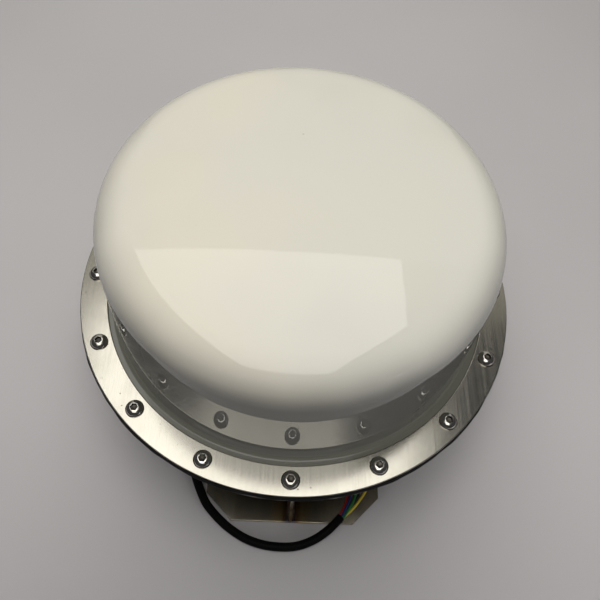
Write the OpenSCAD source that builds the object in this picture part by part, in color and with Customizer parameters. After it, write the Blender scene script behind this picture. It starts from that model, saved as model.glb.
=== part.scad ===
// Round marine signal light: an opal drum lens clamped to a steel base by a ring of
// button-head screws, on a welded steel foot bracket, with a short five-core pigtail.
// Z = 0 is the underside of the foot plate and the Z axis is the axis of the drum.
// -Y is the front, where the end of the pigtail lies.

/* [Lens] */
// Outside diameter of the lens wall at its foot
lens_d = 227.6; // [180:0.2:232]
// How far the wall leans in between foot and shoulder
lens_draft = 1.6; // [0:0.2:6]
// Height of the lens top above the clamp ring
lens_h = 90; // [60:1:140]
// Wall thickness of the lens
lens_wall = 3; // [2:0.5:5]
// Outside radius of the shoulder
shoulder_r = 22; // [10:1:35]
// Radius of the slightly crowned top
crown_r = 2000; // [800:100:4000]
// Radius of the fillet between wall and flange
fillet_r = 2; // [0.5:0.5:3]

/* [Flange stack] */
// Outside diameter of ring, gasket and base plate
flange_d = 270; // [262:1:330]
// Radial width of the clamp ring
ring_w = 16.5; // [15:0.5:22]
// Thickness of the clamp ring
ring_t = 2; // [1.5:0.5:5]
// Thickness of the gasket at its outer edge
gasket_t = 6; // [5:0.5:10]
// Thickness of the base plate
base_t = 2; // [1.5:0.5:6]
// How far the lens flange reaches under the clamp ring
flange_lap = 3; // [1.5:0.25:4]
// Thickness of the lens flange
flange_t = 3; // [2:0.5:4]

/* [Ring screws] */
// Number of screws round the ring
screw_count = 16; // [8:1:24]
// Thread diameter
screw_d = 6; // [5:1:6]
// Length under the head
screw_len = 20; // [18:1:30]
// Distance from the flange's rim to the screw centres
screw_inset = 8.7; // [7.5:0.1:10]
// Button head diameter
head_d = 10.5; // [9:0.5:12]
// Button head height
head_h = 3.3; // [2.5:0.1:4]
// Width of the hexagon socket across its flats
socket_af = 4; // [3:0.5:4.5]
// Nut width across its flats
nut_af = 10; // [8:1:11]
// Nut height
nut_h = 5; // [4:0.5:6]
// Washer outside diameter
washer_d = 12; // [10:0.5:13]
// Washer thickness
washer_t = 1.6; // [1:0.2:2]

/* [Bracket] */
// Length of the foot plate, front to back
foot_len = 264; // [200:1:320]
// Width of the foot plate
foot_w = 112; // [90:1:150]
// Thickness of the foot plate
foot_t = 3; // [2:0.5:6]
// Size of the cut corners
foot_cut = 17; // [5:1:30]
// Free height between foot plate and base plate
clear_h = 67; // [60:1:120]
// Thickness of the upright web
web_t = 2; // [1.5:0.5:6]
// Length of the web where it meets the base plate
web_top_len = 214; // [120:1:220]
// Leg of the weld fillets
weld_leg = 1.4; // [1:0.1:4]
// How far the bracket stands to the right of the drum's axis
bracket_shift = 3; // [0:1:6]
// How far the foot plate's middle stands to the right of the web
foot_offset = 1; // [0:0.5:4]
// Diameter of the mounting holes
hole_d = 9; // [5:0.5:12]
// Spacing of the mounting holes across
hole_dx = 76; // [50:1:80]
// Spacing of the mounting holes front to back
hole_dy = 150; // [80:1:160]

/* [Cable and gland] */
// Outside diameter of the cable
cable_d = 5.5; // [4.5:0.25:6.5]
// Outside diameter of one core
core_d = 1.6; // [1.2:0.1:1.6]
// Gland thread diameter
gland_d = 16; // [16:1:20]
// Gland width across its flats
gland_af = 22; // [22:1:27]
// Height of the gland body's hexagon
gland_hex_h = 5; // [4:0.5:7]
// Length of the gland cap
gland_cap_h = 16; // [14:0.5:18]
// Length of the gland's rubber seal
gland_seal_h = 9; // [6:0.5:9]
// Thickness of the gland's sealing washer
gland_washer_t = 1.5; // [1:0.5:2]
// Height of the gland locknut
gland_nut_h = 5; // [4:0.5:6]

/* [Lamp insert] */
// Gap between the lens wall and the aluminium carrier plate
carrier_gap = 15.8; // [14:0.2:18]
// Thickness of the carrier plate
carrier_t = 2; // [1.5:0.5:4]
// Length of the spacers under the carrier plate
spacer_h = 22; // [20:1:28]
// Outside diameter of the spacers
spacer_d = 8; // [7:0.5:9]
// Distance of the carrier's studs from its edge
stud_inset = 12; // [10:1:14]
// Diameter of the studs
stud_d = 4; // [3:1:4]
// Gap between the carrier's studs and the circuit board
board_gap = 17; // [15:1:19]
// Thickness of the circuit board
board_t = 1.6; // [1:0.2:2.4]
// Diameter of the wire hole through board and carrier
wire_hole_d = 16; // [14:1:20]
// Side length of one emitter
led_a = 5; // [3:0.5:5]
// Height of one emitter
led_h = 1.6; // [1:0.2:2]
// Length of the terminal block
block_l = 54; // [52:1:60]
// Width of the terminal block
block_w = 15; // [13:1:17]
// Height of the terminal block
block_h = 13; // [11:1:15]
// Pitch of the terminals
block_pitch = 8; // [7:0.5:8]

/* [Hidden] */
$fn = 96;

// clearances
thread_gap = 0.05;     // radial gap between a screw and its nut
hole_gap = 0.25;       // radial gap between a screw and a plain hole
seat_gap = 0.5;        // radial gap between the lens flange and its rebate
eps = 0.01;            // overshoot of a cutting tool

// heights
base_z = foot_t + clear_h;
floor_z = base_z + base_t;              // inside floor of the housing
gasket_top = floor_z + gasket_t;
ring_top = gasket_top + ring_t;
flange_z = gasket_top - flange_t;       // underside of the lens flange
lens_top = ring_top + lens_h;

// radii
flange_r = flange_d / 2;
ring_in_r = flange_r - ring_w;
screw_r = flange_r - screw_inset;       // pitch radius of the ring screws
lens_flange_r = ring_in_r + flange_lap;
rebate_r = lens_flange_r + seat_gap;
foot_r = lens_d / 2;                    // lens wall at its foot
gasket_in_r = foot_r - lens_wall - 1;

// shoulder and crown of the outside surface
shoulder_x = foot_r - lens_draft - shoulder_r;
crown_a = asin(shoulder_x / (crown_r - shoulder_r));
shoulder_z = lens_top - crown_r + (crown_r - shoulder_r) * cos(crown_a);
draft_a = atan(lens_draft / (shoulder_z - gasket_top));

// gland, counted upwards from its mouth
gland_x = -66;
gland_y = 20;
gland_hex_z = base_z - gland_washer_t - gland_hex_h;
gland_cap_z = gland_hex_z - 1 - (gland_cap_h - 1);
gland_seal_z = gland_hex_z - gland_seal_h;
gland_thread_r = gland_d / 2;
gland_cap_r = gland_thread_r - 0.5;     // lower thread, inside the cap
gland_seal_r = 5.5;
gland_bore_r = 4.2;
gland_top = floor_z + gland_nut_h + 1;
mouth_r = cable_d / 2 + 0.5;
entry_top = gland_top + 2;

// lamp insert
carrier_z = floor_z + spacer_h;
board_z = carrier_z + carrier_t;
board_top = board_z + board_t;
carrier_nut_h = 3.2;
carrier_nut_af = 7;
stud_h = spacer_h + carrier_t + carrier_nut_h + 1.5;
block_x = -18;
block_y = 20;
block_stud_d = 3;
block_stud_y = block_l / 2 - 3.3;
block_foot_h = 4;                       // height of the block's fixing ears
block_nut_h = 2.4;
block_nut_af = 5.5;
carrier_d = lens_d - 2 * (lens_wall + carrier_gap);
stud_pcd = carrier_d - 2 * stud_inset;
board_d = stud_pcd - 2 * board_gap;
board_screw_r = board_d / 2 - 5;
led_ring_pitch = 14;                    // radial step between the rings of emitters
led_rim = 13.9;                         // least distance of a ring from the board's edge
led_rings = [for (r = [24:led_ring_pitch:board_d / 2 - led_rim]) r];
led_per_ring = 16;
ways = [-2, -1, 0, 1, 2];

// cable route: down from the gland, forward on the surface, round the front, up on to the plate
lay_z = cable_d / 2;
rest_z = foot_t + cable_d / 2;
cable_route = [
    [gland_x, gland_y, gland_cap_z], [-66, 20, 41], [-66, 19, 32], [-66, 15.5, 23.5],
    [-66.5, 9.5, 15.5], [-67, 1.5, 9], [-68, -8.5, 5], [-69, -19, lay_z + 0.4],
    [-69.8, -30, lay_z], [-70, -42, lay_z], [-69.7, -54, lay_z], [-69, -66, lay_z],
    [-67.6, -78, lay_z], [-65.2, -90, lay_z], [-62.2, -99.5, lay_z], [-59, -108, lay_z],
    [-55.6, -115.2, lay_z], [-52, -121.6, lay_z], [-47.4, -126.9, lay_z],
    [-42, -132, lay_z], [-35.1, -137.3, lay_z], [-25, -142.9, lay_z], [-14, -146.2, lay_z],
    [-2.5, -147.2, lay_z], [8, -146.2, lay_z], [18, -142.5, lay_z + 1],
    [26, -137.3, lay_z + 2.6], [31, -132.8, rest_z + 0.4],
    [35, -128.5, rest_z + 0.1]];

// the five cores lie in a ring inside the jacket and leave it square to its end
jacket_end = cable_route[len(cable_route) - 1];
end_dir = unit(jacket_end - cable_route[len(cable_route) - 2]);
end_side = unit(cross([0, 0, 1], end_dir));
bundle_r = 1.45;
core_lead = 2;                          // straight stretch out of the jacket
function core_start(a) =
    let (s = jacket_end + bundle_r * (cos(a) * end_side + sin(a) * cross(end_dir, end_side)))
    [s, s + core_lead / 2 * end_dir, s + core_lead * end_dir];

// core routes: out of the end of the jacket, fanned out on the foot plate
core_z = foot_t + core_d / 2 + 0.05;
red_route = concat(core_start(10), [[38.3, -120, 4.6], [39.8, -115.4, core_z],
    [40.7, -110.5, core_z], [41, -106, core_z], [40.8, -101, core_z], [40, -96, core_z],
    [38.6, -91, core_z]]);
blue_route = concat(core_start(82), [[39.6, -120.4, 6.2], [41.7, -115.2, 4.8],
    [43, -110, core_z], [43.6, -105, core_z], [43.7, -100, core_z], [43.3, -95, core_z],
    [42.3, -90.5, core_z]]);
green_route = concat(core_start(154), [[41.8, -121, 6], [44.2, -115.8, 5],
    [45.7, -110.5, core_z], [46.5, -105.5, core_z], [47, -100.5, core_z],
    [47, -95.5, core_z], [46.6, -90, core_z]]);
black_route = concat(core_start(298), [[39.6, -123, core_z], [43.2, -119.2, core_z],
    [46.4, -115, core_z], [48.6, -110, core_z], [49.8, -104.5, core_z],
    [50.4, -99.5, core_z], [50.6, -94.5, core_z], [50.5, -89.5, core_z]]);
yellow_route = concat(core_start(226), [[41.6, -124, core_z], [45.4, -119.8, core_z],
    [48.8, -115.4, core_z], [51.4, -111.4, core_z], [53.2, -106.5, core_z],
    [54.2, -101.5, core_z], [54.6, -96.5, core_z], [54.4, -91.5, core_z]]);

// a point on a Catmull-Rom curve between points i and i + 1 of a route
function spline(p, i, t) =
    let (a = p[max(i - 1, 0)], b = p[i], c = p[i + 1], d = p[min(i + 2, len(p) - 1)])
    0.5 * (2 * b + (c - a) * t + (2 * a - 5 * b + 4 * c - d) * t * t
        + (3 * b - a - 3 * c + d) * t * t * t);

// a route with extra points between its own
function refine(p, n) =
    concat([for (i = [0:len(p) - 2], k = [0:n - 1]) spline(p, i, k / n)], [p[len(p) - 1]]);

function unit(v) = v / norm(v);

// direction of a route at point i
function heading(p, i) = unit(p[min(i + 1, len(p) - 1)] - p[max(i - 1, 0)]);

// side vector at each point, carried along so that the tube does not twist
function carried(side, dir) = unit(side - (side * dir) * dir);
function frames(p, i = 0, side = [1, 0, 0]) =
    i == len(p) ? [] :
    let (s = carried(side, heading(p, i)))
    concat([s], frames(p, i + 1, s));

// round tube along a route
module tube(p, r, sides, side = [1, 0, 0]) {
    f = frames(p, 0, side);
    n = len(p);
    pts = [for (i = [0:n - 1], k = [0:sides - 1])
        let (d = heading(p, i), a = 360 * k / sides)
        p[i] + r * (cos(a) * f[i] + sin(a) * cross(d, f[i]))];
    walls = [for (i = [0:n - 2], k = [0:sides - 1])
        let (a = i * sides + k, b = i * sides + (k + 1) % sides)
        [a, a + sides, b + sides, b]];
    start = [for (k = [0:sides - 1]) k];
    finish = [for (k = [sides - 1:-1:0]) (n - 1) * sides + k];
    polyhedron(points = pts, faces = concat([start], walls, [finish]), convexity = 10);
}

// flat disc ring between two radii
module ring(r_out, r_in, h) {
    difference() {
        cylinder(r = r_out, h = h);
        translate([0, 0, -eps]) cylinder(r = r_in, h = h + 2 * eps);
    }
}

// hexagon prism by its width across flats
module hexagon(af, h) {
    cylinder(d = af / cos(30), h = h, $fn = 6);
}

// places children at each ring screw, the first one at the front
module at_screws() {
    for (i = [0:screw_count - 1])
        rotate(-90 + 360 * i / screw_count) translate([screw_r, 0, 0]) children();
}

// places children at each carrier stud
module at_studs() {
    for (a = [45:90:315]) rotate(a) translate([stud_pcd / 2, 0, 0]) children();
}

// places children at the two studs of the terminal block
module at_block_studs() {
    for (s = [-1, 1]) translate([block_x, block_y + s * block_stud_y, 0]) children();
}

module foot_outline() {
    x = foot_w / 2;
    y = foot_len / 2;
    c = foot_cut;
    polygon([[-x + c, -y], [x - c, -y], [x, -y + c], [x, y - c],
        [x - c, y], [-x + c, y], [-x, y - c], [-x, -y + c]]);
}

module foot_plate() {
    color("darkkhaki") translate([bracket_shift + foot_offset, 0, 0]) difference() {
        linear_extrude(foot_t) foot_outline();
        for (x = [-1, 1], y = [-1, 1])
            translate([x * hole_dx / 2, y * hole_dy / 2, -eps])
                cylinder(d = hole_d, h = foot_t + 2 * eps);
    }
}

module web_plate() {
    color("silver") translate([bracket_shift + web_t / 2, 0, foot_t])
        rotate([90, 0, -90]) linear_extrude(web_t)
            polygon([[-foot_len / 2, 0], [foot_len / 2, 0],
                [web_top_len / 2, clear_h], [-web_top_len / 2, clear_h]]);
}

// two fillets along the web, standing up from z or hanging down from it
module weld_pair(length, z, up) {
    for (s = [-1, 1])
        translate([bracket_shift, 0, z]) rotate([90, 0, 0])
            linear_extrude(length, center = true)
                polygon([[s * web_t / 2, 0], [s * (web_t / 2 + weld_leg), 0],
                    [s * web_t / 2, up * weld_leg]]);
}

module foot_weld() {
    color("saddlebrown") weld_pair(foot_len - 2 * weld_leg, foot_t, 1);
}

module head_weld() {
    color("saddlebrown") weld_pair(web_top_len - 2 * weld_leg, base_z, -1);
}

module base_plate() {
    color("gainsboro") difference() {
        translate([0, 0, base_z]) cylinder(r = flange_r, h = base_t);
        translate([0, 0, base_z - eps]) at_screws()
            cylinder(r = screw_d / 2 + hole_gap, h = base_t + 2 * eps);
        translate([gland_x, gland_y, base_z - eps])
            cylinder(r = gland_thread_r + hole_gap, h = base_t + 2 * eps);
    }
}

module gasket() {
    color("black") difference() {
        translate([0, 0, floor_z]) ring(flange_r, gasket_in_r, gasket_t);
        translate([0, 0, flange_z]) cylinder(r = rebate_r, h = flange_t + eps);
        translate([0, 0, floor_z - eps]) at_screws()
            cylinder(r = screw_d / 2 + hole_gap, h = gasket_t + 2 * eps);
    }
}

// one skin of the lens from the fillet over the shoulder, pulled in by a wall thickness
function drum_skin(t) = concat(
    [[foot_r - t, gasket_top + fillet_r]],
    [for (i = [0:12]) let (a = draft_a + (90 - crown_a - draft_a) * i / 12)
        [shoulder_x + (shoulder_r - t) * cos(a), shoulder_z + (shoulder_r - t) * sin(a)]]);

// one skin of the crown, from the shoulder's end to the axis
function crown_skin(t) =
    [for (i = [0:6]) let (a = crown_a * (1 - i / 6))
        [(crown_r - t) * sin(a), lens_top - crown_r + (crown_r - t) * cos(a)]];

function backwards(v) = [for (i = [len(v) - 1:-1:0]) v[i]];

// the lens is one casting, kept as two nodes that meet where the shoulder ends
module lens_drum() {
    fillet = [for (i = [0:5]) let (a = 270 - 90 * i / 6)
        [foot_r + fillet_r + fillet_r * cos(a), gasket_top + fillet_r + fillet_r * sin(a)]];
    color("ivory") rotate_extrude() polygon(concat(
        [[foot_r - lens_wall, flange_z], [lens_flange_r, flange_z],
            [lens_flange_r, gasket_top]],
        fillet, drum_skin(0), backwards(drum_skin(lens_wall))));
}

module lens_crown() {
    color("ivory") rotate_extrude()
        polygon(concat(crown_skin(0), backwards(crown_skin(lens_wall))));
}

module clamp_ring() {
    color("lightgray") difference() {
        translate([0, 0, gasket_top]) ring(flange_r, ring_in_r, ring_t);
        translate([0, 0, gasket_top - eps]) at_screws()
            cylinder(r = screw_d / 2 + hole_gap, h = ring_t + 2 * eps);
    }
}

// button head: a flat seat, a low dome and a hexagon socket
module button_screw() {
    edge_h = 0.6;
    flat_r = socket_af / 2 + 0.9;
    dome = [for (i = [0:6]) let (a = 90 * i / 6)
        [flat_r + (head_d / 2 - flat_r) * cos(a), edge_h + (head_h - edge_h) * sin(a)]];
    difference() {
        union() {
            rotate_extrude() polygon(concat([[0, 0], [head_d / 2, 0]], dome, [[0, head_h]]));
            translate([0, 0, -screw_len]) cylinder(d = screw_d, h = screw_len + eps);
        }
        translate([0, 0, head_h * 0.4]) hexagon(socket_af, head_h);
    }
}

module ring_screws() {
    color("dimgray") translate([0, 0, ring_top]) at_screws() button_screw();
}

module ring_washers() {
    color("silver") translate([0, 0, base_z - washer_t]) at_screws()
        ring(washer_d / 2, screw_d / 2 + hole_gap, washer_t);
}

module nut(af, d, h) {
    difference() {
        hexagon(af, h);
        translate([0, 0, -eps]) cylinder(r = d / 2 + thread_gap, h = h + 2 * eps);
    }
}

module ring_nuts() {
    color("silver") translate([0, 0, base_z - washer_t - nut_h]) at_screws()
        nut(nut_af, screw_d, nut_h);
}

module at_gland(z) {
    translate([gland_x, gland_y, z]) children();
}

module gland_body() {
    color("dimgray") difference() {
        union() {
            at_gland(gland_hex_z) hexagon(gland_af, gland_hex_h);
            at_gland(gland_hex_z) cylinder(r = gland_thread_r, h = gland_top - gland_hex_z);
            at_gland(gland_seal_z) cylinder(r = gland_cap_r, h = gland_seal_h + eps);
        }
        at_gland(gland_seal_z - eps) cylinder(r = gland_seal_r, h = gland_seal_h + eps);
        at_gland(gland_seal_z) cylinder(r = gland_bore_r, h = gland_top - gland_seal_z + eps);
    }
}

module gland_washer() {
    color("black") at_gland(base_z - gland_washer_t)
        ring(gland_af / 2, gland_thread_r + thread_gap, gland_washer_t);
}

module gland_seal() {
    color("black") at_gland(gland_seal_z) ring(gland_seal_r, cable_d / 2, gland_seal_h);
}

// the cap screws on to the lower thread and its rounded nose presses on the seal
module gland_cap() {
    thread_z = gland_seal_z - gland_cap_z;
    nose_r = mouth_r + 2;
    color("dimgray") at_gland(gland_cap_z) difference() {
        intersection() {
            hexagon(gland_af, gland_cap_h - 1);
            rotate_extrude() polygon([[0, 0], [nose_r, 0], [nose_r + 2.5, 0.8],
                [gland_af * 0.5, 4], [gland_af * 0.57, 7], [gland_af * 0.57, gland_cap_h],
                [0, gland_cap_h]]);
        }
        translate([0, 0, -eps]) cylinder(r = mouth_r, h = gland_cap_h);
        translate([0, 0, thread_z]) cylinder(r = gland_cap_r + thread_gap, h = gland_cap_h);
    }
}

module gland_locknut() {
    color("dimgray") at_gland(floor_z) nut(gland_af, gland_d, gland_nut_h);
}

// the stretch of cable that the gland holds
module cable_entry() {
    color("black") at_gland(gland_cap_z) cylinder(d = cable_d, h = entry_top - gland_cap_z);
}

module cable() {
    color("black") tube(cable_route, cable_d / 2, 12);
}

module core(route) {
    tube(refine(route, 2), core_d / 2, 8, [0, 0, 1]);
}

module core_red() { color("firebrick") core(red_route); }
module core_blue() { color("midnightblue") core(blue_route); }
module core_green() { color("darkgreen") core(green_route); }
module core_black() { color("black") core(black_route); }
module core_yellow() { color("gold") core(yellow_route); }

module base_studs() {
    color("silver") {
        translate([0, 0, floor_z]) at_studs() cylinder(d = stud_d, h = stud_h);
        translate([0, 0, floor_z]) at_block_studs()
            cylinder(d = block_stud_d, h = block_foot_h + block_nut_h + 1);
    }
}

module carrier_spacers() {
    color("silver") translate([0, 0, floor_z]) at_studs()
        ring(spacer_d / 2, stud_d / 2 + thread_gap, spacer_h);
}

module carrier_plate() {
    color("lightsteelblue") difference() {
        translate([0, 0, carrier_z]) cylinder(d = carrier_d, h = carrier_t);
        translate([0, 0, carrier_z - eps]) {
            at_studs() cylinder(r = stud_d / 2 + hole_gap, h = carrier_t + 2 * eps);
            cylinder(d = wire_hole_d, h = carrier_t + 2 * eps);
            at_board_screws() cylinder(d = 3 + 2 * thread_gap, h = carrier_t + 2 * eps);
        }
    }
}

module carrier_nuts() {
    color("silver") translate([0, 0, board_z]) at_studs()
        nut(carrier_nut_af, stud_d, carrier_nut_h);
}

module at_board_screws() {
    for (i = [0:5]) rotate(60 * i) translate([board_screw_r, 0, 0]) children();
}

module led_board() {
    color("white") difference() {
        translate([0, 0, board_z]) cylinder(d = board_d, h = board_t);
        translate([0, 0, board_z - eps]) {
            cylinder(d = wire_hole_d, h = board_t + 2 * eps);
            at_board_screws() cylinder(r = 1.5 + hole_gap, h = board_t + 2 * eps);
        }
    }
}

module board_screws() {
    color("silver") translate([0, 0, board_top]) at_board_screws() {
        cylinder(d = 5.6, h = 2);
        translate([0, 0, -board_t - carrier_t]) cylinder(d = 3, h = board_t + carrier_t + eps);
    }
}

// one colour of emitters, every fourth place on each ring
module emitters(k) {
    translate([0, 0, board_top])
        for (j = [0:len(led_rings) - 1], m = [0:led_per_ring / 4 - 1])
            rotate(360 / led_per_ring * (4 * m + k + j / 2))
                translate([led_rings[j] - led_a / 2, -led_a / 2, 0])
                    cube([led_a, led_a, led_h]);
}

module leds_red() { color("salmon") emitters(0); }
module leds_green() { color("palegreen") emitters(1); }
module leds_blue() { color("lightblue") emitters(2); }
module leds_white() { color("khaki") emitters(3); }

// one constant-current chip for each colour, near the wire hole
module current_drivers() {
    color("dimgray") translate([0, 0, board_top])
        for (a = [0:90:270])
            rotate(a + 45) translate([13, -2, 0]) cube([4, 4, 1.5]);
}

module terminal_block() {
    color("whitesmoke") difference() {
        translate([block_x, block_y, floor_z]) union() {
            translate([-block_w / 2, -block_l / 2, 0]) cube([block_w, block_l, block_foot_h]);
            translate([-block_w / 2, -2.5 * block_pitch, 0])
                cube([block_w, 5 * block_pitch, block_h]);
        }
        translate([0, 0, floor_z - eps]) at_block_studs()
            cylinder(r = block_stud_d / 2 + hole_gap, h = block_h);
        for (i = ways)
            translate([block_x, block_y + i * block_pitch, floor_z]) {
                translate([-block_w / 2 - eps, 0, block_h / 2]) rotate([0, 90, 0])
                    cylinder(d = core_d + 1, h = block_w + 2 * eps);
                translate([0, 0, block_h / 2]) cylinder(d = 3.4, h = block_h);
            }
    }
}

module terminal_screws() {
    color("silver") for (i = ways)
        translate([block_x, block_y + i * block_pitch, floor_z + block_h / 2 + core_d / 2])
            difference() {
                cylinder(d = 3.2, h = block_h / 2 - core_d / 2 - 0.6);
                translate([-2, -0.3, block_h / 2 - core_d / 2 - 1.4]) cube([4, 0.6, 2]);
            }
}

module block_nuts() {
    color("silver") translate([0, 0, floor_z + block_foot_h]) at_block_studs()
        nut(block_nut_af, block_stud_d, block_nut_h);
}

// cores from the end of the jacket inside the housing to the terminals
module entry_leads() {
    way_z = floor_z + block_h / 2;
    color("firebrick") for (i = ways) {
        a = 72 * i;
        rise = 2.5 + 2.2 * abs(i);
        spread = bundle_r * [cos(a), sin(a), 0];
        start = [gland_x, gland_y, entry_top] + spread;
        way = [block_x, block_y + i * block_pitch, way_z];
        door = block_w / 2;
        tube(refine([start, start + [0, 0, 0.8], start + [0, 0, 1.6],
            start + 0.6 * spread + [0, 0, 4], start + spread + [3, i, 4 + rise],
            [way[0] - 29, way[1] - 3 * i, entry_top + 3 + rise],
            [way[0] - 17, way[1] - 0.5 * i, (entry_top + way_z) / 2 + rise / 2],
            way - [door + 2.5, 0, 0], way - [door - 1, 0, 0], way - [1, 0, 0]], 2),
            core_d / 2, 8);
    }
}

// leads from the terminals up through the wire hole to the board
module board_leads() {
    way_z = floor_z + block_h / 2;
    rim = wire_hole_d / 2 - 1.6;
    color("steelblue") for (i = ways) {
        a = 100 - 48 * i;
        way = [block_x, block_y + i * block_pitch, way_z];
        door = block_w / 2;
        top = [rim * cos(a), rim * sin(a), board_top + 1.5];
        turn = way + [door + 7 + 2 * i, -1, 0.5];
        tube(refine([way + [1, 0, 0], way + [door - 1, 0, 0], way + [door + 2, 0, 0], turn,
            [top[0] * 1.2, top[1] * 1.2 + 1.2 * (i + 2), (way_z + carrier_z) / 2 + 1],
            [top[0], top[1], carrier_z - 1], top], 2), core_d / 2, 8, [0, 0, 1]);
    }
}

foot_plate();
web_plate();
foot_weld();
head_weld();
base_plate();
gasket();
lens_drum();
lens_crown();
clamp_ring();
ring_screws();
ring_washers();
ring_nuts();
gland_body();
gland_washer();
gland_seal();
gland_cap();
gland_locknut();
cable_entry();
cable();
core_red();
core_blue();
core_green();
core_black();
core_yellow();
base_studs();
carrier_spacers();
carrier_plate();
carrier_nuts();
led_board();
board_screws();
leds_red();
leds_green();
leds_blue();
leds_white();
current_drivers();
terminal_block();
terminal_screws();
block_nuts();
entry_leads();
board_leads();
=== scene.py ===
import math
import random

import bpy
from mathutils import Matrix, Vector


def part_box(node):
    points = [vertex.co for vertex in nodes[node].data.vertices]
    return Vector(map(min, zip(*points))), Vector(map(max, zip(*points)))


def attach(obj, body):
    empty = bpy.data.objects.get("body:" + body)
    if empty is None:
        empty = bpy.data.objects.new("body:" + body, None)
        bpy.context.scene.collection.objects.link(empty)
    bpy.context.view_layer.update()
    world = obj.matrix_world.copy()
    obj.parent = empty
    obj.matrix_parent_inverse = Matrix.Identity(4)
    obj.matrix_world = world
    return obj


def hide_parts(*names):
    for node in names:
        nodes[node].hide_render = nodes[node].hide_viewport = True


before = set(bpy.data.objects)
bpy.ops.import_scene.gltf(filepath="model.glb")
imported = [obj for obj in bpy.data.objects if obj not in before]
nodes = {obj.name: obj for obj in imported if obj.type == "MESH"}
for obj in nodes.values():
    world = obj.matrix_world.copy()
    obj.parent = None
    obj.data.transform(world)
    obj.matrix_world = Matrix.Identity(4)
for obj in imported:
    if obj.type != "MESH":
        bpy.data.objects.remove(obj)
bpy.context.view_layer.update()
scene = bpy.context.scene
print("frame loaded,", len(nodes), "nodes")

# places that the frame gives
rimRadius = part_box("clamp_ring")[1].x
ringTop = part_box("clamp_ring")[1].z
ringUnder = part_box("clamp_ring")[0].z
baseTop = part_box("base_plate")[1].z
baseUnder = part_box("base_plate")[0].z
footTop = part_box("foot_plate")[1].z
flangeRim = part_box("lens_drum")[1].x
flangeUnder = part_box("lens_drum")[0].z
webMid = (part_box("web_plate")[0].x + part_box("web_plate")[1].x) / 2

cameraLook = {
    "distance": 0.41,      # from the middle of the ring's top face
    "elevation": 57.5,
    "turn": -2.7,          # round the drum, from straight in front
    "panSide": -0.43,      # small turns of the aim, in degrees
    "panUp": -1.5,
    "roll": -4.97,
    "lens": 38.34,
}


def turned(v, axis, degrees):
    return Matrix.Rotation(math.radians(degrees), 3, axis) @ v


def makeCamera(look):
    high = math.radians(look["elevation"])
    place = Vector((0, -math.cos(high), math.sin(high))) * look["distance"]
    ahead = -place.normalized()
    side = Vector((1, 0, 0))
    up = side.cross(ahead)
    ahead, side = turned(ahead, up, look["panSide"]), turned(side, up, look["panSide"])
    ahead, up = turned(ahead, side, look["panUp"]), turned(up, side, look["panUp"])
    side, up = turned(side, ahead, look["roll"]), turned(up, ahead, look["roll"])
    basis = Matrix((side, up, -ahead)).transposed()
    swing = Matrix.Rotation(math.radians(look["turn"]), 3, "Z")
    data = bpy.data.cameras.new("camera")
    data.lens = look["lens"]
    data.sensor_width = 36
    data.clip_start = 0.01
    cam = bpy.data.objects.new("camera", data)
    place = swing @ place + Vector((0, 0, ringTop))
    cam.matrix_world = Matrix.Translation(place) @ (swing @ basis).to_4x4()
    scene.collection.objects.link(cam)
    scene.camera = cam


makeCamera(cameraLook)
print("camera ready")


# a socket that can be used in sums; each sum adds one Math node
class Sock:
    def __init__(self, tree, link):
        self.tree = tree
        self.link = link

    def sum(self, kind, *values):
        n = self.tree.nodes.new("ShaderNodeMath")
        n.operation = kind
        for place, value in zip(n.inputs, values):
            if isinstance(value, Sock):
                self.tree.links.new(value.link, place)
            else:
                place.default_value = value
        return Sock(self.tree, n.outputs[0])

    def __add__(self, other):
        return self.sum("ADD", self, other)

    def __radd__(self, other):
        return self.sum("ADD", other, self)

    def __sub__(self, other):
        return self.sum("SUBTRACT", self, other)

    def __rsub__(self, other):
        return self.sum("SUBTRACT", other, self)

    def __mul__(self, other):
        return self.sum("MULTIPLY", self, other)

    def __rmul__(self, other):
        return self.sum("MULTIPLY", other, self)

    def __truediv__(self, other):
        return self.sum("DIVIDE", self, other)

    def __rtruediv__(self, other):
        return self.sum("DIVIDE", other, self)

    def __pow__(self, other):
        return self.sum("POWER", self, other)

    def __abs__(self):
        return self.sum("ABSOLUTE", self)


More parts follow.
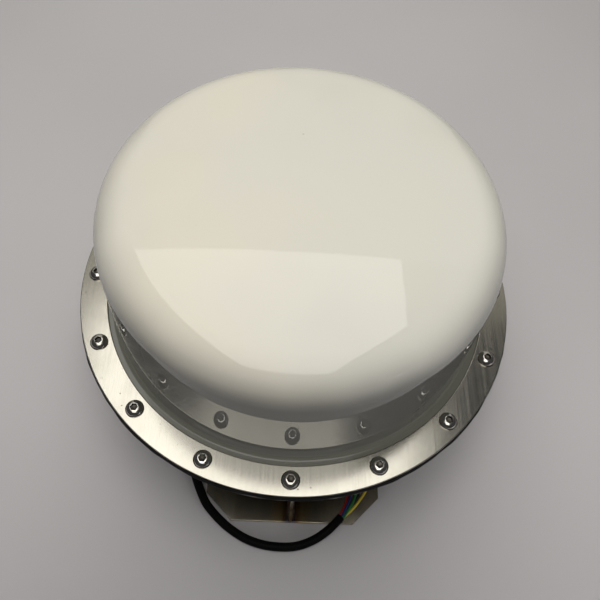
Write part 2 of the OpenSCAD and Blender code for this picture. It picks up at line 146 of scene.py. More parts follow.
# one material, built up node by node
class Finish:
    def __init__(self, name, slot, **plain):
        self.slot = slot
        self.mat = bpy.data.materials.new(name)
        self.mat.use_nodes = True
        self.tree = self.mat.node_tree
        self.shader = self.tree.nodes["Principled BSDF"]
        for key, value in plain.items():   # uniform values, such as Base_Color
            place = self.shader.inputs[key.replace("_", " ")]
            if place.type == "RGBA":
                value = (*value, 1)
            place.default_value = value
        self.where = self.add("ShaderNodeTexCoord", out="Object")

    def add(self, kind, settings=None, values=None, out=0):
        n = self.tree.nodes.new(kind)
        for key, value in (settings or {}).items():
            setattr(n, key, value)
        for key, value in (values or {}).items():
            place = n.inputs[key]
            if isinstance(value, Sock):
                self.tree.links.new(value.link, place)
            elif place.type == "RGBA":
                place.default_value = (*value, 1)
            else:
                place.default_value = value
        return Sock(self.tree, n.outputs[out])

    def stretched(self, x, y, z):          # the place, stretched before a texture
        return self.add("ShaderNodeVectorMath", {"operation": "MULTIPLY"},
                        {0: self.where, 1: (x, y, z)})

    def noise(self, scale, detail=3, rough=0.5, at=None, warp=0.0):
        return self.add("ShaderNodeTexNoise", {"noise_dimensions": "3D"},
                        {"Vector": at or self.where, "Scale": scale, "Detail": detail,
                         "Roughness": rough, "Distortion": warp}, out="Fac")

    def cells(self, scale, at=None):
        return self.add("ShaderNodeTexVoronoi", {"feature": "F1"},
                        {"Vector": at or self.where, "Scale": scale}, out="Distance")

    def steps(self, factor, low, high, start=0.0, end=1.0):
        return self.add("ShaderNodeMapRange", {"interpolation_type": "SMOOTHSTEP"},
                        {"Value": factor, "From Min": low, "From Max": high,
                         "To Min": start, "To Max": end})

    def blend(self, factor, first, second):
        n = self.tree.nodes.new("ShaderNodeMix")
        n.data_type = "RGBA"
        for place, value in ((n.inputs[0], factor), (n.inputs[6], first), (n.inputs[7], second)):
            if isinstance(value, Sock):
                self.tree.links.new(value.link, place)
            elif place.type == "RGBA":
                place.default_value = (*value, 1)
            else:
                place.default_value = value
        return Sock(self.tree, n.outputs[2])

    def split(self):
        n = self.tree.nodes.new("ShaderNodeSeparateXYZ")
        self.tree.links.new(self.where.link, n.inputs[0])
        return [Sock(self.tree, o) for o in n.outputs]

    def feed(self, name, value):
        self.tree.links.new(value.link, self.shader.inputs[name])

    def bump(self, height, strength, distance):
        self.feed("Normal", self.add("ShaderNodeBump", {}, {
            "Height": height, "Strength": strength, "Distance": distance}, out="Normal"))


# cords: the routes are the part's own, in metres

cableLook = {
    "thick": 0.0055,
    "coreThick": 0.0016,
    "coreRing": 0.00145,      # how far from the cable's middle each core leaves it
    "coreLead": 0.002,        # straight stretch out of the jacket
    "tipLong": 0.005,         # bare strands at the end of each core
    "tipThick": 0.0009,
    "coreLift": 0.00005,
}

floorLay = cableLook["thick"] / 2
plateLay = footTop + cableLook["thick"] / 2
coreLay = footTop + cableLook["coreThick"] / 2 + cableLook["coreLift"]

glandExit = (-0.066, 0.020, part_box("gland_cap")[0].z)
cableRoute = [
    glandExit, (-0.066, 0.020, 0.041), (-0.066, 0.019, 0.032), (-0.066, 0.0155, 0.0235),
    (-0.0665, 0.0095, 0.0155), (-0.067, 0.0015, 0.009), (-0.068, -0.0085, 0.005),
    (-0.069, -0.019, floorLay + 0.0004), (-0.0698, -0.030, floorLay), (-0.070, -0.042, floorLay),
    (-0.0697, -0.054, floorLay), (-0.069, -0.066, floorLay), (-0.0676, -0.078, floorLay),
    (-0.0652, -0.090, floorLay), (-0.0622, -0.0995, floorLay), (-0.059, -0.108, floorLay),
    (-0.0556, -0.1152, floorLay), (-0.052, -0.1216, floorLay), (-0.0474, -0.1269, floorLay),
    (-0.042, -0.132, floorLay), (-0.0351, -0.1373, floorLay), (-0.025, -0.1429, floorLay),
    (-0.014, -0.1462, floorLay), (-0.0025, -0.1472, floorLay), (0.008, -0.1462, floorLay),
    (0.018, -0.1425, floorLay + 0.001), (0.026, -0.1373, floorLay + 0.0026),
    (0.031, -0.1328, plateLay + 0.0004), (0.035, -0.1285, plateLay + 0.0001)]

coreRoutes = {
    "red": (10, [
        (0.0383, -0.120, 0.0046), (0.0398, -0.1154, coreLay), (0.0407, -0.1105, coreLay),
        (0.041, -0.106, coreLay), (0.0408, -0.101, coreLay), (0.040, -0.096, coreLay),
        (0.0386, -0.091, coreLay)]),
    "blue": (82, [
        (0.0396, -0.1204, 0.0062), (0.0417, -0.1152, 0.0048), (0.043, -0.110, coreLay),
        (0.0436, -0.105, coreLay), (0.0437, -0.100, coreLay), (0.0433, -0.095, coreLay),
        (0.0423, -0.0905, coreLay)]),
    "green": (154, [
        (0.0418, -0.121, 0.006), (0.0442, -0.1158, 0.005), (0.0457, -0.1105, coreLay),
        (0.0465, -0.1055, coreLay), (0.047, -0.1005, coreLay), (0.047, -0.0955, coreLay),
        (0.0466, -0.090, coreLay)]),
    "black": (298, [
        (0.0396, -0.123, coreLay), (0.0432, -0.1192, coreLay), (0.0464, -0.115, coreLay),
        (0.0486, -0.110, coreLay), (0.0498, -0.1045, coreLay), (0.0504, -0.0995, coreLay),
        (0.0506, -0.0945, coreLay), (0.0505, -0.0895, coreLay)]),
    "yellow": (226, [
        (0.0416, -0.124, coreLay), (0.0454, -0.1198, coreLay), (0.0488, -0.1154, coreLay),
        (0.0514, -0.1114, coreLay), (0.0532, -0.1065, coreLay), (0.0542, -0.1015, coreLay),
        (0.0546, -0.0965, coreLay), (0.0544, -0.0915, coreLay)]),
}


def smoothRoute(points, parts):
    p = [Vector(x) for x in points]
    last = len(p) - 1
    line = []
    for i in range(last):
        a, b, c, d = p[max(i - 1, 0)], p[i], p[i + 1], p[min(i + 2, last)]
        for k in range(parts):
            t = k / parts
            line.append((2 * b + (c - a) * t + (2 * a - 5 * b + 4 * c - d) * t * t
                         + (3 * b - a - 3 * c + d) * t ** 3) / 2)
    return line + [p[last]]


def routeLength(line):
    return sum((b - a).length for a, b in zip(line, line[1:]))


def makeCord(name, line, thick, sides=4):
    data = bpy.data.curves.new(name, "CURVE")
    data.dimensions = "3D"
    data.bevel_depth = 1.0                 # the points' own radius sets the thickness
    data.bevel_resolution = sides
    data.use_fill_caps = True
    data.twist_mode = "MINIMUM"
    spline = data.splines.new("POLY")
    spline.points.add(len(line) - 1)
    for point, place in zip(spline.points, line):
        point.co = (*place, 1)
        point.radius = thick / 2
    spline.use_smooth = True
    piece = bpy.data.objects.new(name, data)
    scene.collection.objects.link(piece)
    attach(piece, "root")
    return piece


def makeCable(look):
    line = smoothRoute(cableRoute, 5)
    cable = makeCord("signal_cable", line, look["thick"], 7)
    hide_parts("cable")
    routeLength(line)
    return cable


def makeCores(look):
    end = Vector(cableRoute[-1])
    ahead = (end - Vector(cableRoute[-2])).normalized()
    side = Vector((0, 0, 1)).cross(ahead).normalized()
    above = ahead.cross(side)
    cores = {}
    for colour, (angle, rest) in coreRoutes.items():
        a = math.radians(angle)
        start = end + look["coreRing"] * (math.cos(a) * side + math.sin(a) * above)
        lead = ahead * look["coreLead"]
        line = smoothRoute([start, start + lead / 2, start + lead] + rest, 4)
        core = makeCord("core_" + colour + "_lead", line, look["coreThick"], 4)
        tipEnd = line[-1] + (line[-1] - line[-2]).normalized() * look["tipLong"]
        tip = makeCord("core_" + colour + "_strands", [line[-1], (line[-1] + tipEnd) / 2, tipEnd],
                       look["tipThick"], 3)
        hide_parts("core_" + colour)
        "core_" + colour
        routeLength(line)
        cores[colour] = (core, tip)
    return cores


cable = makeCable(cableLook)
cores = makeCores(cableLook)
print("cable and cores laid")


def makePiece(name, points, faces, finish, sharp=35):
    data = bpy.data.meshes.new(name)
    data.from_pydata([tuple(p) for p in points], [], faces)
    data.validate()
    data.update()
    data.shade_smooth()
    data.set_sharp_from_angle(angle=math.radians(sharp))
    data.materials.append(finish.mat)
    piece = bpy.data.objects.new(name, data)
    scene.collection.objects.link(piece)
    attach(piece, "root")
    return piece


# a profile with extra points close to each end of its long straights, so flats shade flat
def held(profile, near=0.0002):
    out = []
    for here, after in zip(profile, list(profile[1:]) + [profile[0]]):
        start, end = Vector(here), Vector(after)
        out.append(tuple(start))
        if (end - start).length > 8 * near:
            step = (end - start).normalized() * near
            out += [tuple(start + step), tuple(end - step)]
    return out


# closed outline of (radius, height) points turned round the Z axis
def lathe(outline, turns=192):
    outline = held(outline)
    points = []
    for k in range(turns):
        a = math.tau * k / turns
        points += [(r * math.cos(a), r * math.sin(a), z) for r, z in outline]
    n = len(outline)
    faces = []
    for k in range(turns):
        for i in range(n):
            j = (i + 1) % n
            a, b = k * n, ((k + 1) % turns) * n
            faces.append((a + i, b + i, b + j, a + j))
    return points, faces


# loops of the same number of points, joined one to the next and closed at both ends
def skin(loops):
    n = len(loops[0])
    points = [p for loop in loops for p in loop]
    faces = [tuple(range(n - 1, -1, -1))]
    for k in range(len(loops) - 1):
        for i in range(n):
            j = (i + 1) % n
            faces.append((k * n + i, k * n + j, (k + 1) * n + j, (k + 1) * n + i))
    faces.append(tuple(range((len(loops) - 1) * n, len(loops) * n)))
    return points, faces


def arc(x, z, radius, start, end, parts):
    steps = [math.radians(start + (end - start) * i / parts) for i in range(parts + 1)]
    return [(x + radius * math.cos(a), z + radius * math.sin(a)) for a in steps]


# rectangle outline with rounded corners, for rings and discs
def roundedBox(inner, outer, low, high, soft):
    return (arc(outer - soft, low + soft, soft, -90, 0, 3)
            + arc(outer - soft, high - soft, soft, 0, 90, 3)
            + arc(inner + soft, high - soft, soft, 90, 180, 3)
            + arc(inner + soft, low + soft, soft, 180, 270, 3))


def joined(parts):
    points, faces = [], []
    for p, f in parts:
        shift = len(points)
        points += [tuple(x) for x in p]
        faces += [tuple(i + shift for i in face) for face in f]
    return points, faces


def moved(part, matrix):
    points, faces = part
    return [matrix @ Vector(p) for p in points], faces


screwLook = {
    "count": 16,
    "inset": 0.0087,         # from the rim to the screws' circle
    "headRadius": 0.00525,
    "headHeight": 0.0033,
    "socketFlat": 0.0037,    # width of the hexagon across its flats
    "flatRim": 0.0026,       # where the dome ends and the flat begins
    "bulge": 0.00045,        # how far the dome stands out of a plain cone
    "long": 0.020,
    "radius": 0.003,
    "pitch": 0.001,
    "threadDeep": 0.0004,
    "tip": 0.0006,           # bevel at the end of the thread
    "neck": 0.0002,
    "headSoft": 0.0001,
    "skirt": 0.00055,        # upright edge of the head, up to where the dome begins
    "domeFrom": 0.0006,
    "mouth": 0.0004,         # how much wider the socket is at its mouth
    "mouthDeep": 0.00025,
    "socketFloor": 0.4,      # share of the head's height
    "drill": 0.42,           # drilled cone in the floor, a share of the socket's width
    "drillTip": 0.0002,
    "drillDeep": 0.0008,
    "shadeFrom": 0.0003,     # the painted shade in the socket starts this far down
    "shadeReach": 0.6,       # and goes this far out, a share of the socket's width
}


def atScrews(part, look, height, jitter=None):
    out = []
    for k in range(look["count"]):
        spin = math.tau * k / look["count"] - math.pi / 2
        own = jitter[k] if jitter else 0
        place = (Matrix.Rotation(spin, 4, "Z")
                 @ Matrix.Translation((rimRadius - look["inset"], 0, height))
                 @ Matrix.Rotation(own, 4, "Z"))
        out.append(moved(part, place))
    return joined(out)


# finishes of the lens, the steel and the rubber

def makeOpal(look):
    f = Finish("opal_cast", "opal", Base_Color=look["cream"], Roughness=look["rough"], IOR=look["ior"],
               Emission_Strength=1.0)
    x, _, z = f.split()
    cloud = f.noise(look["cloudScale"], 2, 0.45)
    warm = f.blend(f.steps(cloud, 0.38, 0.66), look["cream"], look["warm"])
    lean = f.steps(x + f.noise(6, 2) * 0.06, -0.02, 0.12)
    top = f.blend(lean * look["greenShare"], warm, look["green"])
    # painted shade: the wall and the lower shoulder get a dark tone below the cream top, for the shade
    # they stand in
    wander = (f.noise(14, 2) - 0.5) * look["dimWander"]
    high = f.steps(z + wander, look["dimFrom"], look["dimTo"])
    body = f.blend(high, look["wallPaintedShade"], top)
    # painted shade: the flange and the wall's foot, down at the clamp ring, darker still
    body = f.blend(f.steps(z, ringTop, ringTop + look["flangeFade"]), look["flangePaintedShade"], body)
    fleck = f.steps(f.cells(look["fleckScale"]), 0.015, 0.035)
    f.feed("Base Color", f.blend((1 - fleck) * high, body, look["fleck"]))
    # painted glow at the casting's foot, standing in for light carried through the milky casting
    carried = f.steps(z, ringTop - look["carriedUnder"], ringTop + look["carriedOver"], 1, 0)
    f.feed("Emission Color", f.blend(carried, (0, 0, 0), look["carried"]))
    smear = f.noise(9, 3, 0.6, warp=0.4)
    f.feed("Roughness", f.steps(smear, 0.3, 0.8, look["rough"], look["roughSmear"]))
    swell = f.noise(look["swellScale"], 2, 0.4)
    grain = f.noise(420, 2, 0.5)
    f.bump(swell + grain * look["grainShare"], 1.0, look["swell"])
    return f


opalLook = {
    "ior": 1.44,
    "cream": (0.83, 0.805, 0.72),
    "warm": (0.86, 0.815, 0.70),
    "green": (0.805, 0.80, 0.725),
    "greenShare": 0.7,
    # painted shade on the wall and the lower shoulder, in place of the casting's cream
    "wallPaintedShade": (0.19, 0.19, 0.171),
    # painted shade on the flange at the clamp ring
    "flangePaintedShade": (0.12, 0.12, 0.105),
    "flangeFade": 0.0015,
    "carried": (0.040, 0.039, 0.031),     # painted glow at the foot
    "carriedUnder": 0.001,
    "carriedOver": 0.005,
    "dimFrom": 0.143,          # height where the wall's painted shade starts to give way
    "dimTo": 0.170,
    "dimWander": 0.012,
    "fleck": (0.70, 0.66, 0.57),          # small specks, a little darker than the casting
    "fleckScale": 42,
    "cloudScale": 11,
    "rough": 0.015,
    "roughSmear": 0.035,
    "swellScale": 24,
    "swell": 0.00006,
    "grainShare": 0.01,
}


# brushed steel: fine streaks along one axis, with flecks, smears and short scratches
def makeBrushed(name, slotName, look, tintPlace=None):
    f = Finish(name, slotName, Base_Color=look["steel"], Metallic=1.0, Roughness=look["rough"])
    along = look["along"]
    fine = f.noise(1, 3, 0.6, at=f.stretched(*[s * look["fine"] for s in along]))
    wide = f.noise(1, 2, 0.5, at=f.stretched(*[s * look["wide"] for s in along]))
    smear = f.noise(look["smear"], 3, 0.55)
    speck = f.steps(f.cells(look["speckScale"]), 0.05, 0.11)
    tone = f.blend(f.steps(fine * 0.6 + wide * 0.4, 0.34, 0.66), look["dark"], look["steel"])
    tone = f.blend(f.steps(smear, 0.45, 0.75) * 0.5, tone, look["dull"])
    tone = f.blend(speck, look["speck"], tone)
    rough = f.steps(wide + smear * 0.6, 0.55, 1.1, look["rough"], look["roughSmear"])
    if tintPlace:
        tone = tintPlace(f, tone)
    f.feed("Base Color", tone)
    f.feed("Roughness", rough)
    scratch = f.steps(f.cells(1, at=f.stretched(*[s * look["scratch"] for s in along])), 0.02, 0.06)
    f.bump(fine + wide * look["wideShare"] + scratch * look["scratchShare"],
           look["strength"], look["depth"])
    return f


ringLook = {
    "steel": (0.455, 0.437, 0.385),
    "dark": (0.415, 0.398, 0.35),
    "dull": (0.39, 0.373, 0.325),
    "speck": (0.20, 0.185, 0.155),
    "rough": 0.15,
    "roughSmear": 0.21,
    "wideShare": 0.03,
    "along": (1, 0.012, 1),     # streaks run along Y
    "fine": 3600,
    "wide": 700,
    "smear": 45,
    "speckScale": 170,
    "scratch": 240,
    "scratchShare": 0.04,
    "strength": 0.25,
    "depth": 0.00003,
}

bracketLook = {
    "steel": (0.43, 0.40, 0.33),
    "dark": (0.38, 0.35, 0.28),
    "dull": (0.35, 0.31, 0.23),
    "speck": (0.12, 0.09, 0.06),
    "rough": 0.22,
    "roughSmear": 0.27,
    "wideShare": 0.04,
    "along": (1, 0.02, 1),
    "fine": 2200,
    "wide": 300,
    "smear": 40,
    "speckScale": 260,
    "scratch": 150,
    "scratchShare": 0.04,
    "strength": 0.4,
    "depth": 0.00006,
}

heatLook = {
    "blue": (0.09, 0.09, 0.12),
    "brown": (0.20, 0.10, 0.035),
    "straw": (0.46, 0.34, 0.16),
    "blueReach": 0.0034,       # from the middle of the web
    "brownReach": 0.0072,
    "strawReach": 0.016,
    "blueFull": 0.0024,
    "wander": 0.006,
    "webStraw": (0.010, 0.022),    # up the web from the foot: full colour, none left
    "webBrown": (0.004, 0.010),
    "webHead": (0.004, 0.012),     # down the web from the base plate
    "webWander": 0.008,
}


# colours that welding leaves in the steel beside the web
def heatTint(f, tone):
    x, _, _ = f.split()
    wander = (f.noise(55, 3, 0.6) - 0.5) * heatLook["wander"]
    off = abs(x - webMid) + wander
    tone = f.blend(f.steps(off, heatLook["brownReach"], heatLook["strawReach"], 1, 0) * 0.75,
                   tone, heatLook["straw"])
    tone = f.blend(f.steps(off, heatLook["blueReach"], heatLook["brownReach"], 1, 0) * 0.9,
                   tone, heatLook["brown"])
    return f.blend(f.steps(off, heatLook["blueFull"], heatLook["blueReach"], 1, 0) * 0.85,
                   tone, heatLook["blue"])


def webTint(f, tone):
    _, _, z = f.split()
    wander = (f.noise(60, 3, 0.6) - 0.5) * heatLook["webWander"]
    up = z - footTop + wander
    tone = f.blend(f.steps(up, *heatLook["webStraw"], 1, 0) * 0.7, tone, heatLook["straw"])
    tone = f.blend(f.steps(up, *heatLook["webBrown"], 1, 0) * 0.85, tone, heatLook["brown"])
    down = baseUnder - z + wander
    return f.blend(f.steps(down, *heatLook["webHead"], 1, 0) * 0.8, tone, heatLook["brown"])


def makeWeld(look):
    f = Finish("weld_bead_steel", "weld", Base_Color=look["steel"], Metallic=1.0, Roughness=0.36)
    cloud = f.noise(160, 3, 0.6)
    tone = f.blend(f.steps(cloud, 0.35, 0.65), look["steel"], look["burnt"])
    soot = f.steps(f.noise(420, 2, 0.7), 0.5, 0.7)
    f.feed("Base Color", f.blend(soot * 0.6, tone, look["soot"]))
    f.feed("Roughness", f.steps(cloud, 0.3, 0.7, 0.28, 0.5))
    f.bump(f.noise(900, 3, 0.6), 0.5, 0.00008)
    return f


weldLook = {
    "steel": (0.34, 0.29, 0.22),
    "burnt": (0.16, 0.11, 0.08),
    "soot": (0.05, 0.04, 0.04),
    "leg": 0.0014,
    "ripple": 0.00010,
    "ripplePitch": 0.0017,
    "step": 0.0005,            # from one section of the bead to the next
    "tipShare": 0.35,          # size of the bead's ends
    "tipLong": 0.0013,         # stretch in which the bead grows to its full size
    "slant": 0.0006,
}


# plain polished or rolled steel of the small fixings, and a dark copy of it as painted shade in the
# sockets
def makeSteel(name, slotName, look):
    f = Finish(name, slotName, Base_Color=look["steel"], Metallic=1.0, Roughness=look["rough"])
    cloud = f.noise(look["scale"], 3, 0.6)
    turnMarks = f.noise(1, 2, 0.5, at=f.stretched(300, 300, 2600))
    tone = f.blend(f.steps(cloud, 0.3, 0.7), look["steel"], look["dull"])
    pit = f.steps(f.cells(look["scale"] * 6), 0.05, 0.12)
    f.feed("Base Color", f.blend(pit, look["pit"], tone))
    f.feed("Roughness", f.steps(cloud + turnMarks * 0.3, 0.3, 1.0, look["rough"], look["roughWorn"]))
    f.bump(turnMarks + cloud * 0.5, 0.3, look["depth"])
    return f


screwSteelLook = {
    "steel": (0.56, 0.54, 0.50), "dull": (0.46, 0.44, 0.40), "pit": (0.30, 0.28, 0.25),
    "rough": 0.10, "roughWorn": 0.22, "scale": 260, "depth": 0.00002,
}
# painted shade: dark, dull steel for the recess of each socket
socketShadeLook = {
    "steel": (0.13, 0.12, 0.105), "dull": (0.08, 0.075, 0.065), "pit": (0.04, 0.035, 0.03),
    "rough": 0.45, "roughWorn": 0.6, "scale": 300, "depth": 0.00002,
}
fixingSteelLook = {
    "steel": (0.62, 0.61, 0.58), "dull": (0.48, 0.47, 0.44), "pit": (0.20, 0.18, 0.16),
    "rough": 0.24, "roughWorn": 0.40, "scale": 180, "depth": 0.00003,
}


# rubber and moulded plastic: one tone with cloudy patches, dust and a fine surface
def makeMoulded(name, slotName, look):
    look = {**mouldedUsual, "dust": look["worn"], **look}
    f = Finish(name, slotName, Base_Color=look["tone"], Roughness=look["rough"],
               Specular_IOR_Level=look["gloss"])
    cloud = f.noise(look["scale"], 3, 0.6)
    fine = f.noise(look["fine"], 3, 0.6)
    dust = f.steps(f.noise(look["scale"] * 5, 3, 0.7), 0.60, 0.80)
    tone = f.blend(f.steps(cloud, 0.3, 0.7), look["tone"], look["worn"])
    f.feed("Base Color", f.blend(dust * look["dustShare"], tone, look["dust"]))
    f.feed("Roughness", f.steps(cloud + fine * 0.4, 0.4, 1.0, look["rough"], look["rough"] + 0.16))
    f.bump(fine + cloud * 0.6, look["strength"], look["depth"])
    return f


# what a moulded surface has unless its own entry says otherwise
mouldedUsual = {"gloss": 0.5, "scale": 90, "fine": 1500, "dustShare": 0.3,
                "strength": 0.4, "depth": 0.00005}

mouldedLooks = {
    "rubber_black": {"tone": (0.003, 0.003, 0.0028), "worn": (0.006, 0.0055, 0.005),
                     "dust": (0.02, 0.019, 0.016), "rough": 0.6, "depth": 0.00012,
                     "dustShare": 0.2, "gloss": 0.12},
    "nylon_black": {"tone": (0.018, 0.018, 0.019), "worn": (0.03, 0.03, 0.031), "rough": 0.34},
    "jacket_black": {"tone": (0.002, 0.002, 0.002), "worn": (0.004, 0.004, 0.004),
                     "dust": (0.012, 0.012, 0.012), "rough": 0.5, "dustShare": 0.1,
                     "gloss": 0.07},
    "core_red": {"tone": (0.52, 0.035, 0.02), "worn": (0.42, 0.03, 0.02), "rough": 0.32},
    "core_blue": {"tone": (0.012, 0.03, 0.17), "worn": (0.010, 0.022, 0.12), "rough": 0.32},
    "core_green": {"tone": (0.02, 0.20, 0.045), "worn": (0.016, 0.15, 0.035), "rough": 0.32},
    "core_black": {"tone": (0.014, 0.014, 0.015), "worn": (0.022, 0.022, 0.022), "rough": 0.32},
    "core_yellow": {"tone": (0.80, 0.62, 0.06), "worn": (0.70, 0.52, 0.05), "rough": 0.32},
    "carrier": {"tone": (0.62, 0.62, 0.60), "worn": (0.54, 0.54, 0.52), "rough": 0.35},
    "block": {"tone": (0.60, 0.59, 0.54), "worn": (0.50, 0.49, 0.45), "rough": 0.42},
    "chip": {"tone": (0.016, 0.016, 0.017), "worn": (0.03, 0.03, 0.03), "rough": 0.45},
    "lead": {"tone": (0.45, 0.45, 0.44), "worn": (0.36, 0.36, 0.35), "rough": 0.38},
}


# circuit board: soldermask with faint tracks under it
def makeBoard(look):
    f = Finish("board_mask", "board", Base_Color=look["mask"], Roughness=0.28)
    tracks = f.add("ShaderNodeTexBrick", {"offset": 0.5}, {
        "Vector": f.where, "Scale": look["scale"], "Mortar Size": 0.03, "Brick Width": 0.6,
        "Row Height": 0.2, "Color1": look["mask"], "Color2": look["mask"],
        "Mortar": look["track"]}, out="Color")
    cloud = f.noise(120, 3, 0.6)
    f.feed("Base Color", f.blend(f.steps(cloud, 0.3, 0.7) * 0.4, tracks, look["worn"]))
    f.feed("Roughness", f.steps(cloud, 0.3, 0.7, 0.22, 0.4))
    f.bump(cloud, 0.3, 0.00003)
    return f


boardLook = {"mask": (0.75, 0.75, 0.72), "track": (0.60, 0.61, 0.58),
             "worn": (0.66, 0.65, 0.60), "scale": 70}


# emitter: the dome colour, mixed in cloudy patches with a paler tone
def makeEmitter(name, slotName, tone):
    f = Finish(name, slotName, Base_Color=tone, Roughness=0.22)
    cloud = f.noise(500, 2, 0.5)
    pale = tuple(0.5 * c + 0.4 for c in tone)
    f.feed("Base Color", f.blend(f.steps(cloud, 0.35, 0.65), tone, pale))
    f.feed("Roughness", f.steps(cloud, 0.3, 0.7, 0.15, 0.35))
    f.bump(cloud, 0.3, 0.00003)
    return f


emitterTones = {"red": (0.75, 0.35, 0.30), "green": (0.45, 0.72, 0.45),
                "blue": (0.42, 0.58, 0.80), "white": (0.85, 0.78, 0.45)}

finishes = {
    "opal": makeOpal(opalLook),
    "ring_steel": makeBrushed("ring_brushed_steel", "ring_steel", ringLook),
    "bracket_steel": makeBrushed("foot_heat_tinted_steel", "bracket_steel", bracketLook, heatTint),
    "web_steel": makeBrushed("web_heat_tinted_steel", "bracket_steel", bracketLook, webTint),
    "weld": makeWeld(weldLook),
    "screw_steel": makeSteel("polished_screw_steel", "screw_steel", screwSteelLook),
    "socket_painted_shade": makeSteel("socket_painted_shade", "screw_steel", socketShadeLook),
    "fixing_steel": makeSteel("rolled_fixing_steel", "fixing_steel", fixingSteelLook),
    "board": makeBoard(boardLook),
}
for slotName, look in mouldedLooks.items():
    finishes[slotName] = makeMoulded(slotName + "_surface", slotName, look)
for colour, tone in emitterTones.items():
    finishes["led_" + colour] = makeEmitter("emitter_" + colour, "led_" + colour, tone)
print(len(finishes), "finishes made")

cable.data.materials.append(finishes["jacket_black"].mat)
for colour, (core, tip) in cores.items():
    core.data.materials.append(finishes["core_" + colour].mat)
    tip.data.materials.append(finishes["fixing_steel"].mat)


# lens: one hollow casting, from its flange up the wall, over the shoulder to the crown

lensLook = {
    "foot": 0.1138,        # radius of the wall at the clamp ring
    "draft": 0.0016,
    "wall": 0.003,
    "shoulder": 0.022,
    "crown": 2.0,
    "fillet": 0.002,
    "flange": 0.003,
    "edge": 0.0003,
    "axis": 0.00001,       # radius at which a disc's profile stops short of the axis
}


def makeLens(look):
    low, high, edge = flangeUnder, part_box("lens_crown")[1].z, flangeRim
    seat = low + look["flange"]
    shoulderX = look["foot"] - look["draft"] - look["shoulder"]
    lean = math.asin(shoulderX / (look["crown"] - look["shoulder"]))
    shoulderZ = high - look["crown"] + (look["crown"] - look["shoulder"]) * math.cos(lean)
    draft = math.degrees(math.atan(look["draft"] / (shoulderZ - seat)))

    def skinLine(inset):
        crown = look["crown"] - inset
        bend = arc(shoulderX, shoulderZ, look["shoulder"] - inset, draft,
                   90 - math.degrees(lean), 28)
        cap = [(crown * math.sin(lean * k / 24), high - look["crown"]
                + crown * math.cos(lean * k / 24)) for k in range(23, 0, -1)]
        return bend + cap + [(look["axis"], high - inset)]

    fillet = arc(look["foot"] + look["fillet"], seat + look["fillet"], look["fillet"],
                 270, 180 + draft, 6)
    soft = look["edge"]
    line = ([(look["foot"] - look["wall"], low), (edge - soft, low), (edge, low + soft),
             (edge, seat - soft), (edge - soft, seat)]
            + fillet + skinLine(0) + skinLine(look["wall"])[::-1])
    points, faces = lathe(line, 256)
    lens = makePiece("lens_casting", points, faces, finishes["opal"], 50)
    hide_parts("lens_drum", "lens_crown")
    return lens


makeLens(lensLook)
print("lens made")


# clamp ring, gasket and base plate

ringPieces = {
    "ringSoft": 0.00035,       # rounded edge of the clamp ring
    "baseSoft": 0.0003,
    "gasketSoft": 0.0006,
    "gasketProud": 0.0009,     # how far the squeezed gasket stands out of the rim
    "gasketWave": 0.00030,
    "gasketFace": 0.002,       # outer stretch that the wave reaches
    "ringLap": 0.003,          # how far the clamp ring reaches over the lens's flange
    "gasketGap": 0.001,        # from the gasket's bore to the lens's inner wall
    "flangeGap": 0.0005,       # between the gasket and the rim of the flange
}


def makeRings(look):
    ring = lathe(roundedBox(flangeRim - look["ringLap"], rimRadius, ringUnder, ringTop,
                            look["ringSoft"]), 256)
    ring = makePiece("clamp_ring_face", *ring, finishes["ring_steel"])
    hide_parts("clamp_ring")
    soft = look["baseSoft"]
    base = lathe(arc(rimRadius - soft, baseUnder + soft, soft, -90, 0, 3)
                 + arc(rimRadius - soft, baseTop - soft, soft, 0, 90, 3)
                 + [(lensLook["axis"], baseTop), (lensLook["axis"], baseUnder)], 256)
    base = makePiece("base_plate_disc", *base, finishes["ring_steel"])
    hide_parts("base_plate")
    makeGasket(look)


def makeGasket(look):
    high = ringUnder - baseTop
    flange = flangeRim + look["flangeGap"]
    inner = lensLook["foot"] - lensLook["wall"] - look["gasketGap"]
    edge = rimRadius + look["gasketProud"]
    soft = look["gasketSoft"]
    line = ([(inner, baseTop), (edge - soft, baseTop)]
            + [(edge - soft * abs(math.cos(math.pi * t)) ** 3, baseTop + high * t)
               for t in (0.08, 0.2, 0.35, 0.5, 0.65, 0.8, 0.92)]
            + [(edge - soft, ringUnder), (flange, ringUnder), (flange, flangeUnder), (inner, flangeUnder)])
    points, faces = lathe(line, 360)
    wavy = []
    for x, y, z in points:
        r, a = math.hypot(x, y), math.atan2(y, x)
        if r > edge - look["gasketFace"]:
            push = (math.sin(16 * a + 0.7) + 0.6 * math.sin(37 * a) + 0.5 * math.sin(61 * a + 2)) / 2.1
            r2 = r + push * look["gasketWave"]
            x, y = x * r2 / r, y * r2 / r
        wavy.append((x, y, z))
    gasket = makePiece("gasket_band", wavy, faces, finishes["rubber_black"])
    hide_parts("gasket")


makeRings(ringPieces)
print("ring, gasket and base plate made")


# screws, nuts and washers round the rim

def polarLoop(radius, height, parts=48):
    return [(radius(a) * math.cos(a), radius(a) * math.sin(a), height)
            for a in (math.tau * k / parts for k in range(parts))]


def hexagon(acrossFlats):
    third = math.radians(60)
    return lambda a: acrossFlats / 2 / math.cos((a + third / 2) % third - third / 2)


def disc(radius):
    return lambda a: radius


# points on an arc that stands out from the line between two (radius, height) points
def bulge(start, end, out, parts):
    start, end = Vector(start), Vector(end)
    half = (end - start).length / 2
    radius = (half * half + out * out) / (2 * out)
    away = Vector(((end - start).y, (start - end).x)).normalized()
    middle = (start + end) / 2 - away * (radius - out)
    first = math.atan2(start.y - middle.y, start.x - middle.x)
    last = math.atan2(end.y - middle.y, end.x - middle.x)
    return [(middle.x + radius * math.cos(a), middle.y + radius * math.sin(a))
            for a in (first + (last - first) * k / parts for k in range(parts + 1))]


